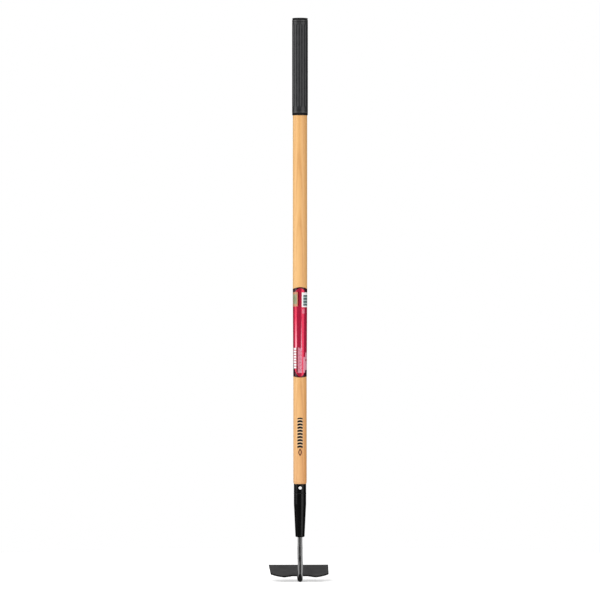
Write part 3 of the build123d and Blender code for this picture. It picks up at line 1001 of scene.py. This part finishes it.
def make_ferrule():
    """The drawn socket: rolled rim, raised bead, taper, rounded tip, and a dimple at the rivet."""
    top, low = FERRULE_HIGH.z, FERRULE_LOW.z
    bore = NECK_RADIUS + FERRULE_NECK_GAP
    outer = [(bore, FERRULE_SEAT), (bore, low), (FERRULE_TIP_RADIUS - TIP_FILLET, low)]
    outer += foot_corner(FERRULE_TIP_RADIUS, low, TIP_FILLET, TIP_FILLET, 8)
    outer += [(FERRULE_TIP_RADIUS, FERRULE_TAPER_END)]
    rise = FERRULE_RADIUS - FERRULE_TIP_RADIUS
    for t in spread(0, 1, 44)[1:]:
        ease = t + FERRULE_TAPER_BOW * sin(2 * pi * t)
        z = FERRULE_TAPER_END + t * (FERRULE_TAPER_TOP - FERRULE_TAPER_END)
        outer.append((FERRULE_TIP_RADIUS + rise * ease, z))
    outer += [(FERRULE_RADIUS, z) for z in spread(FERRULE_TAPER_TOP, BEAD_Z - BEAD_REACH, 12)[1:]]
    for t in spread(-1, 1, 10):
        bulge = BEAD_RADIUS * sqrt(max(0, 1 - t * t))
        crease = BEAD_CREASE if abs(t) == 1 else 0
        outer.append((FERRULE_RADIUS + bulge - crease, BEAD_Z + BEAD_RADIUS * BEAD_STRETCH * t))
    outer += [(FERRULE_RADIUS, z) for z in spread(BEAD_Z + BEAD_REACH, top - RIM_FILLET, 26)]
    outer += top_corner(FERRULE_RADIUS, top, RIM_FILLET, 4)[1:]
    wide, narrow = FERRULE_RADIUS - FERRULE_WALL, FERRULE_TIP_RADIUS - FERRULE_WALL
    inner = [(wide, top), (wide, FERRULE_TAPER_TOP), (narrow, FERRULE_TAPER_END), (narrow, FERRULE_SEAT)]
    piece = turned("ferrule_shell", outer + inner, 160, [ferrule_enamel()], True, dimpled)
    settle(piece, "ferrule", 50)


def make_rivet():
    """The cross rivet: a domed head front and back, with the faint ring that its setting tool left."""
    dome = RIVET_HEAD - RIVET_BREAK
    head = [(RIVET_HEAD, -RIVET_SEAT), (RIVET_HEAD, -RIVET_FLANK), (dome, -RIVET_DOME)]
    for t in spread(0, 1, 12)[1:]:
        r = dome * cos(t * pi / 2)
        z = -RIVET_DOME * (1 - sin(t * pi / 2) ** 1.2)
        ring = RIVET_RING_DEPTH * exp(-(((r - RIVET_RING_RADIUS) / RIVET_RING_WIDTH) ** 2))
        head.append((r if t < 1 else 0, z - ring))
    front = [(r, RIVET_CROWN + z) for r, z in head]
    back = [(r, -z) for r, z in reversed(front)]
    seat = RIVET_CROWN - RIVET_SEAT
    profile = back + [(RIVET_PIN, -seat), (RIVET_PIN, seat)] + front
    piece = turned("rivet_set", profile, 48, [rivet_zinc()])
    for vertex in piece.data.vertices:
        x, y, z = vertex.co
        vertex.co = (x, -z, RIVET_Z + y)
    settle(piece, "rivet", 50)


def shank_line():
    """The bent part of the rod's centre line, as (place, direction) pairs from the bend to the foot's end."""
    half = (BEND_START - BEND_END) / 2
    radius = (half**2 + (REACH / 2) ** 2) / REACH
    swing = atan2(half, radius - REACH / 2)
    line = []
    for t in spread(0, 1, 20):
        a = t * swing
        line.append((Vector((0, -radius * (1 - cos(a)), BEND_START - radius * sin(a))), a))
    for t in spread(0, 1, 20)[1:]:
        a = (1 - t) * swing
        line.append((Vector((0, -REACH + radius * (1 - cos(a)), BEND_END + radius * sin(a))), a))
    drop = HOOK_RADIUS + ROD_RADIUS
    line += [(Vector((0, -REACH, z)), 0.0) for z in spread(BEND_END, drop, 4)[1:]]
    turn = pi / 2 + BLADE_RISE
    for t in spread(0, 1, 32)[1:]:
        a = t * turn
        line.append((Vector((0, -REACH * cos(a), drop - HOOK_RADIUS * sin(a))), -a))
    for t in spread(0, FOOT_LENGTH, 28)[1:]:
        line.append((FOOT_START + t * FOOT_ALONG, -turn))
    return line


def shank_rings():
    """The rings round the rod from the tang's tip to the foot's end, as (centre, lean, radius)."""
    tip = TANG_TIP - TANG_CHAMFER
    straight = [(0, TANG_TIP), (TANG_RADIUS - TANG_CHAMFER, TANG_TIP), (TANG_RADIUS, tip)]
    straight += [(NECK_RADIUS, z) for z in spread(FERRULE_SEAT, NECK_END, 8)]
    for t in spread(0, 1, 12)[1:]:
        ease = t * t * (3 - 2 * t)
        z = NECK_END - t * (NECK_END - BEND_START)
        straight.append((NECK_RADIUS + (ROD_RADIUS - NECK_RADIUS) * ease, z))
    rings = [(Vector((0, 0, z)), 0.0, r) for r, z in straight]
    line = shank_line()
    rings += [(place, lean, ROD_RADIUS) for place, lean in line[1:-1]]
    end, lean = line[-1]
    rings.append((end - 0.98 * FOOT_CHAMFER * FOOT_ALONG, lean, ROD_RADIUS))
    for t in spread(0, 1, 4)[1:]:
        rings.append((end - FOOT_CHAMFER * (1 - t) * FOOT_ALONG, lean, ROD_RADIUS - FOOT_CHAMFER * t))
    rings.append((end, lean, 0))
    return rings


def make_shank():
    """The rod: tang in the pole, neck out of the ferrule, gooseneck, hook and foot under the blade.

    The UVs are millimetres round the rod, and along it from its seat in the ferrule.
    """
    bm = bmesh.new()
    uv = bm.loops.layers.uv.new("UVMap")
    angles = [2 * pi * j / ROD_COLUMNS for j in range(ROD_COLUMNS + 1)]
    across = Vector((1, 0, 0))
    rings = shank_rings()
    rows, lengths = [], []
    length = -(TANG_TIP - FERRULE_SEAT) / MM
    last = rings[0][0]
    for place, lean, radius in rings:
        length += (place - last).length / MM
        last = place
        lengths.append(length)
        if radius == 0:
            rows.append([bm.verts.new(place)] * ROD_COLUMNS)
            continue
        out = Vector((0, -cos(lean), sin(lean)))
        points = [place + radius * (sin(a) * across + cos(a) * out) for a in angles[:-1]]
        rows.append([bm.verts.new(point) for point in points])
    for i in range(len(rows) - 1):
        upper, lower = rows[i], rows[i + 1]
        for j in range(ROD_COLUMNS):
            k = (j + 1) % ROD_COLUMNS
            left, right = angles[j] * ROD_RADIUS / MM, angles[j + 1] * ROD_RADIUS / MM
            face_through(bm, uv, (
                (upper[j], (left, lengths[i])),
                (lower[j], (left, lengths[i + 1])),
                (lower[k], (right, lengths[i + 1])),
                (upper[k], (right, lengths[i])),
            ))
    bm.normal_update()
    piece = new_object(bm, "rod_gooseneck", rod_steel())
    settle(piece, "shank")


def on_foot(x, along, up):
    """A point in the foot's frame: across it, along it and up from its centre line."""
    return Vector((x, 0, 0)) + FOOT_START + along * FOOT_ALONG + up * FOOT_UP


def heel_line():
    """The blade's near outline as the CAD cut it: (distance across, distance along) on one side."""
    top = ROD_RADIUS + BLADE_THICKNESS
    found = []
    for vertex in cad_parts["blade"].data.vertices:
        offset = vertex.co - FOOT_START
        along, up = offset.dot(FOOT_ALONG), offset.dot(FOOT_UP)
        if vertex.co.x > 0 and abs(up - top) < 0.05 * MM and along < HEEL + 4 * MM:
            found.append((vertex.co.x, along))
    found = sorted(set((round(x, 6), round(a, 6)) for x, a in found))
    return [(0, found[0][1])] + found


def near_edge(near, x):
    """How far along the foot the plate begins, at a distance x to one side."""
    for (x0, a0), (x1, a1) in zip(near, near[1:]):
        if x <= x1:
            return a0 + (a1 - a0) * (x - x0) / (x1 - x0)
    return near[-1][1]


def plate_sheet(bm, under, margins):
    """Rows of vertices over the plate's upper or under side, from its near to its cutting edge.

    margins takes each vertex's distance in from the side edge and from the near edge.
    """
    near = heel_line()
    side_x, side_start = near[-1]
    half = sorted(set([x for x, _ in near] + [round(x, 6) for x in spread(0, side_x, 44)]))
    stations = [-x for x in reversed(half[1:])] + half
    flare = BLADE_HIGH.x / side_x - 1
    rows = []
    for i in range(PLATE_ROWS + BEVEL_ROWS + 1):
        row = []
        for x in stations:
            start = near_edge(near, abs(x))
            along = start + (BEVEL_FROM - start) * i / PLATE_ROWS
            if i > PLATE_ROWS:
                along = BEVEL_FROM + BEVEL_LENGTH * (i - PLATE_ROWS) / BEVEL_ROWS
            wide = x * (1 + flare * max(0, (along - side_start) / (CUTTING_EDGE - side_start)))
            ground = max(0, (along - BEVEL_FROM) / BEVEL_LENGTH) * (BLADE_THICKNESS - BEVEL_EDGE)
            up = ROD_RADIUS + (ground if under else BLADE_THICKNESS)
            vert = bm.verts.new(on_foot(wide, along, up))
            margins[vert] = ((side_x - abs(x)) / MM, (along - start) / MM)
            row.append(vert)
        rows.append(row)
    return rows


def make_blade():
    """The plate: straight sides, round shoulders, a notch at the foot, and a bevel ground from below.

    The UVs are millimetres in from the side edge and from the near edge.
    """
    bm = bmesh.new()
    uv = bm.loops.layers.uv.new("UVMap")
    margins = {}
    under = plate_sheet(bm, True, margins)
    over = plate_sheet(bm, False, margins)
    grid_faces(bm, over)
    for face in grid_faces(bm, [list(reversed(row)) for row in under]):
        middle = (face.calc_center_median() - FOOT_START).dot(FOOT_ALONG)
        face.material_index = 2 if middle > BEVEL_FROM else 0
    grid_faces(bm, [outline(under), outline(over)], closed=True, material=1)
    bmesh.ops.recalc_face_normals(bm, faces=bm.faces)
    for face in bm.faces:
        for loop in face.loops:
            loop[uv].uv = margins[loop.vert]
    edges = [e for e in bm.edges if len(e.link_faces) == 2 and e.calc_face_angle(0) > radians(40)]
    bmesh.ops.bevel(bm, geom=edges, offset=EDGE_ROUND, segments=2, profile=0.5, affect="EDGES", material=1)
    for face in bm.faces:
        face.smooth = True
    piece = new_object(bm, "hoe_blade", blade_paint(), blade_rim(), ground_steel())
    settle(piece, "blade", 30)


def weld_row(bm, side, i):
    """One section of a weld bead as a loop of vertices, smaller at the bead's two ends."""
    along = WELD_START + WELD_LENGTH * i / WELD_ROWS
    end = min(i, WELD_ROWS - i) / WELD_END_ROWS
    size = sqrt(1 - (1 - min(end, 1)) ** 2) * 0.55 + 0.45
    out = (WELD_TOE_ROD - WELD_TOE_PLATE).orthogonal().normalized()
    wander = noise.noise(Vector((side * 3.0, along * 180, 0)))
    section = []
    for w in spread(0, 1, WELD_COLUMNS)[:-1]:
        bend = 4 * w * (1 - w)
        ripple = sin(2 * pi * (along / WELD_RIPPLE + 0.45 * bend)) ** 2
        bulge = (0.30 + 0.16 * ripple + 0.12 * wander) * MM * bend
        section.append(WELD_ROOT.lerp(WELD_TOE_PLATE.lerp(WELD_TOE_ROD, w) + out * bulge, size))
    section += [WELD_ROOT.lerp(WELD_TOE_ROD, 0.5 + 0.5 * size), WELD_BACK, WELD_ROOT]
    return [bm.verts.new(on_foot(side * point.x, along, point.y)) for point in section]


def make_welds():
    """Two fillet beads beside the foot, each with the crescent ripples of its weld pool."""
    bm = bmesh.new()
    for side in (-1, 1):
        rows = [weld_row(bm, side, i) for i in range(WELD_ROWS + 1)]
        grid_faces(bm, rows, closed=True)
        bm.faces.new(rows[0])
        bm.faces.new(rows[-1])
    bmesh.ops.recalc_face_normals(bm, faces=bm.faces)
    piece = new_object(bm, "weld_beads", weld_steel())
    settle(piece, "blade_welds", 50)

# -------- stage, light and camera


def make_stage():
    """A pale round floor under the hoe, which gloss doesn't mirror."""
    bm = bmesh.new()
    bmesh.ops.create_circle(bm, cap_ends=True, radius=FLOOR_RADIUS, segments=96)
    white = Shader("floor_white").finish(
        Base_Color=FLOOR_WHITE,
        Roughness=0.9,
        Emission_Color=(1, 1, 1),
        Emission_Strength=0.45,
    )
    floor = new_object(bm, "floor", white)
    floor.visible_glossy = False


def make_world():
    """White to the camera, and a darker grey to the surfaces, so that gloss stays dark."""
    world = bpy.data.worlds.new("studio")
    world.use_nodes = True
    tree = world.node_tree
    paths = tree.nodes.new("ShaderNodeLightPath")
    shown = tree.nodes.new("ShaderNodeMix")
    shown.inputs["A"].default_value = WORLD_FILL
    shown.inputs["B"].default_value = WORLD_GLOSS
    seen = tree.nodes.new("ShaderNodeMix")
    seen.inputs["B"].default_value = 1.0
    tree.links.new(paths.outputs["Is Glossy Ray"], shown.inputs["Factor"])
    tree.links.new(paths.outputs["Is Camera Ray"], seen.inputs["Factor"])
    tree.links.new(shown.outputs["Result"], seen.inputs["A"])
    tree.nodes["Background"].inputs["Color"].default_value = (1, 1, 1, 1)
    tree.links.new(seen.outputs["Result"], tree.nodes["Background"].inputs["Strength"])
    bpy.context.scene.world = world


def around_hoe(azimuth, distance, height):
    """A place round the hoe, at an angle in degrees from the camera's side towards +X."""
    a = radians(azimuth)
    return Vector((distance * sin(a), -distance * cos(a), height))


def point_along(item, direction):
    """Turns a lamp or the camera to face along a direction."""
    item.rotation_mode = "QUATERNION"
    item.rotation_quaternion = direction.to_track_quat("-Z", "Y")


def soft_panel(name, place, direction, width, tall, radiance):
    """A lit panel at a place, facing along a direction, which the camera doesn't see."""
    data = bpy.data.lights.new(name, "AREA")
    data.shape = "RECTANGLE"
    data.size = width
    data.size_y = tall
    data.energy = radiance * pi * width * tall
    lamp = bpy.data.objects.new(name, data)
    bpy.context.scene.collection.objects.link(lamp)
    lamp.location = place
    point_along(lamp, direction)
    lamp.visible_camera = False
    return lamp


def softbox(name, azimuth, distance, height, width, tall, radiance, aim_at=0.75):
    """A soft panel that faces a height on the hoe."""
    place = around_hoe(azimuth, distance, height)
    return soft_panel(name, place, Vector((0, 0, aim_at)) - place, width, tall, radiance)


def lit_group(name, state, *pieces):
    """The pieces that a lamp lights: only these for INCLUDE, and all but these for EXCLUDE."""
    group = bpy.data.collections.new(name)
    for piece in pieces:
        group.objects.link(bpy.data.objects[piece])
    for member in group.collection_objects:
        member.light_linking.link_state = state
    return group


def make_rod_cards():
    """Two tall cards beside the hoe that only the rod mirrors, with a dark gap between them.

    They stand in for the white walls of a studio, and the softboxes leave the rod out in return.
    """
    rod_alone = lit_group("rod_alone", "INCLUDE", "rod_gooseneck")
    for name, side, front, top, foot in ROD_CARDS:
        place = Vector((side * CARD_DISTANCE, (CARD_BACK - front) / 2, (top + foot) / 2))
        inward = Vector((-side, 0, 0))
        card = soft_panel(name, place, inward, CARD_BACK + front, top - foot, CARD_RADIANCE)
        card.light_linking.receiver_collection = rod_alone


def make_lights():
    """Softboxes at right, left, above and behind, of which the rod mirrors none.

    All but the top one leave the rod out, the back one the blade too, and gloss doesn't mirror the top one.
    """
    all_but_rod = lit_group("all_but_rod", "EXCLUDE", "rod_gooseneck")
    all_but_steel = lit_group("all_but_steel", "EXCLUDE", "rod_gooseneck", "hoe_blade")
    right = softbox("softbox_right", 43, 3.0, height=0.9, width=2.4, tall=3.0, radiance=1.12)
    left = softbox("softbox_left", -76, 3.0, height=1.45, width=2.1, tall=2.2, radiance=1.5, aim_at=1.2)
    low = softbox("softbox_left_low", -76, 3.0, height=0.17, width=2.1, tall=0.34, radiance=0.8, aim_at=0.17)
    back = softbox("softbox_back", 180, 3.0, height=0.9, width=1.4, tall=2.6, radiance=0.8)
    for lamp in (right, left, low):
        lamp.light_linking.receiver_collection = all_but_rod
    back.light_linking.receiver_collection = all_but_steel
    top = softbox("softbox_top", -38, 2.6, height=3.4, width=2.6, tall=2.6, radiance=3.6, aim_at=0.6)
    top.visible_glossy = False


def make_camera():
    """Level with the middle of the hoe, far off, and a little to its left."""
    data = bpy.data.cameras.new("camera")
    data.sensor_width = 36
    data.lens = data.sensor_width * CAMERA_DISTANCE / FRAME_WIDTH
    data.clip_end = 100
    camera = bpy.data.objects.new("camera", data)
    bpy.context.scene.collection.objects.link(camera)
    camera.location = around_hoe(CAMERA_AZIMUTH, CAMERA_DISTANCE, CAMERA_HEIGHT)
    point_along(camera, Vector((0, 0, CAMERA_HEIGHT)) - camera.location)
    bpy.context.scene.camera = camera


make_pole()
make_grip()
make_label()
make_ferrule()
make_rivet()
make_shank()
make_blade()
make_welds()
make_stage()
make_world()
make_lights()
make_rod_cards()
make_camera()
bpy.context.scene.view_settings.view_transform = "Standard"
